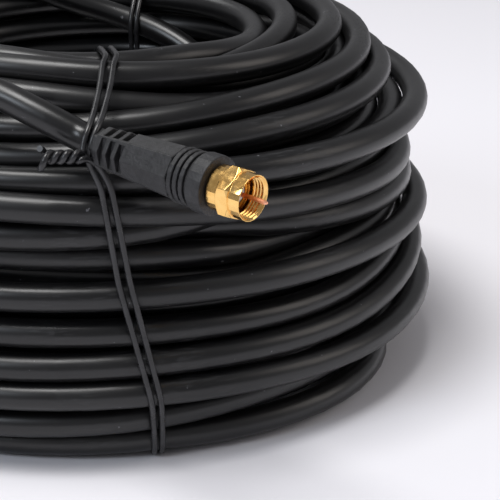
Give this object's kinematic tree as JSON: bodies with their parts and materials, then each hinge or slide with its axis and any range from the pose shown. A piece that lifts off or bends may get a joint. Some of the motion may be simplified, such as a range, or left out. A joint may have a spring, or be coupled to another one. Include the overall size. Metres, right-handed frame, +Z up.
{
  "type": "coaxial cable coil",
  "caption": "Loose round coil of black coaxial aerial cable, with a moulded screw-on plug on each end and two wire ties.",
  "frame": {"origin": "middle of the box around the whole part, at floor level", "axes": "+Z up along the coil's axis, -Y towards the outer plug, +X to the right seen from the front"},
  "size_m": [0.191, 0.2198, 0.101],
  "materials": {
    "jacket": "satin",
    "boot_vinyl": "fine grained matte",
    "gold_plate": "polished",
    "copper": "drawn bright",
    "foam": "matte",
    "tie_vinyl": "satin"
  },
  "bodies": {
    "coil": {"coil_turns": "jacket", "lead_outer": "jacket", "boot_outer": "boot_vinyl", "post_outer": "gold_plate", "insulator_outer": "foam", "pin_outer": "copper", "tie_front": "tie_vinyl", "lead_inner": "jacket", "boot_inner": "boot_vinyl", "post_inner": "gold_plate", "insulator_inner": "foam", "pin_inner": "copper", "tie_rear": "tie_vinyl"},
    "nut_outer": {"nut_outer": "gold_plate"},
    "nut_inner": {"nut_inner": "gold_plate"}
  },
  "joints": [
    {"name": "nut_outer_turn", "type": "hinge", "parent": "coil", "child": "nut_outer", "pos_m": [0.03859, -0.10038, 0.07929], "axis": [0.7887, -0.6096, -0.0802], "continuous": true},
    {"name": "nut_inner_turn", "type": "hinge", "parent": "coil", "child": "nut_inner", "pos_m": [-0.03606, -0.00216, 0.03882], "axis": [-0.7427, 0.6687, -0.0349], "continuous": true}
  ]
}
